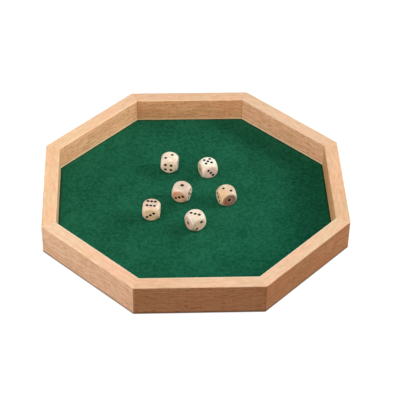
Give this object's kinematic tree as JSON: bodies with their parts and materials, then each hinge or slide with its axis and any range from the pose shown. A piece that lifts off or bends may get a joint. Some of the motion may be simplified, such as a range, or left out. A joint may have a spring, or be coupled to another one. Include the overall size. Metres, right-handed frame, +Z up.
{
  "type": "dice tray",
  "caption": "Octagonal mitred beech dice tray with a green felt floor and loose ball-cut wooden dice lying in it.",
  "frame": {"origin": "on the table under the middle of the tray", "axes": "+Z up, the front rail faces -Y, +X to the right"},
  "size_m": [0.28, 0.28, 0.031],
  "materials": {
    "beech": "satin clear lacquer on steamed beech",
    "plywood": "bare sanded plywood",
    "felt": "short-pile dark green felt",
    "die_wood": "pale waxed hardwood",
    "pip_paint": "near-black matte paint"
  },
  "bodies": {
    "tray": {"rail_front": "beech", "rail_front_right": "beech", "rail_right": "beech", "rail_back_right": "beech", "rail_back": "beech", "rail_back_left": "beech", "rail_left": "beech", "rail_front_left": "beech", "base_panel": "plywood", "felt_lining": "felt"},
    "die_1": {"die_1_body": "die_wood", "die_1_pips": "pip_paint"},
    "die_2": {"die_2_body": "die_wood", "die_2_pips": "pip_paint"},
    "die_3": {"die_3_body": "die_wood", "die_3_pips": "pip_paint"},
    "die_4": {"die_4_body": "die_wood", "die_4_pips": "pip_paint"},
    "die_5": {"die_5_body": "die_wood", "die_5_pips": "pip_paint"},
    "die_6": {"die_6_body": "die_wood", "die_6_pips": "pip_paint"}
  },
  "joints": [
    {"name": "die_1_lift", "type": "slide", "parent": "tray", "child": "die_1", "axis": [0, 0, 1], "range_m": [0, 0.06]},
    {"name": "die_2_lift", "type": "slide", "parent": "tray", "child": "die_2", "axis": [0, 0, 1], "range_m": [0, 0.06]},
    {"name": "die_3_lift", "type": "slide", "parent": "tray", "child": "die_3", "axis": [0, 0, 1], "range_m": [0, 0.06]},
    {"name": "die_4_lift", "type": "slide", "parent": "tray", "child": "die_4", "axis": [0, 0, 1], "range_m": [0, 0.06]},
    {"name": "die_5_lift", "type": "slide", "parent": "tray", "child": "die_5", "axis": [0, 0, 1], "range_m": [0, 0.06]},
    {"name": "die_6_lift", "type": "slide", "parent": "tray", "child": "die_6", "axis": [0, 0, 1], "range_m": [0, 0.06]}
  ]
}
